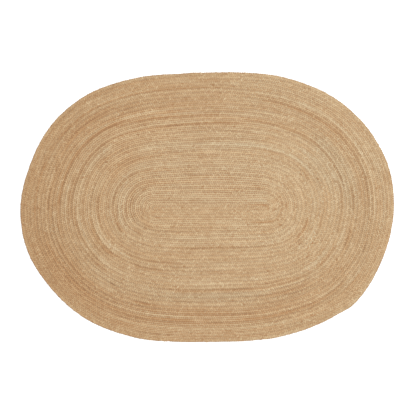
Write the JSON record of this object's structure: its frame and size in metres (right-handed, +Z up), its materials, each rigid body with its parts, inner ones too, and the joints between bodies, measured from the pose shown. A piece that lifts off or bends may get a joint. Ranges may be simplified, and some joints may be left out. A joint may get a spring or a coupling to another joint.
{
  "type": "oval braided jute rug",
  "caption": "Flat oval rug of a long jute braid wound round a short straight centre line and sewn edge to edge, with raised rows and a tucked-in tail, in natural tan.",
  "frame": {"origin": "on the floor under the middle of the rug's bounding box", "axes": "+X along the rug's long way, +Y across it, +Z up from the floor"},
  "size_m": [1.8, 1.2996, 0.009],
  "materials": {
    "jute": "matte"
  },
  "bodies": {
    "root": {"rug": "jute"}
  },
  "joints": []
}
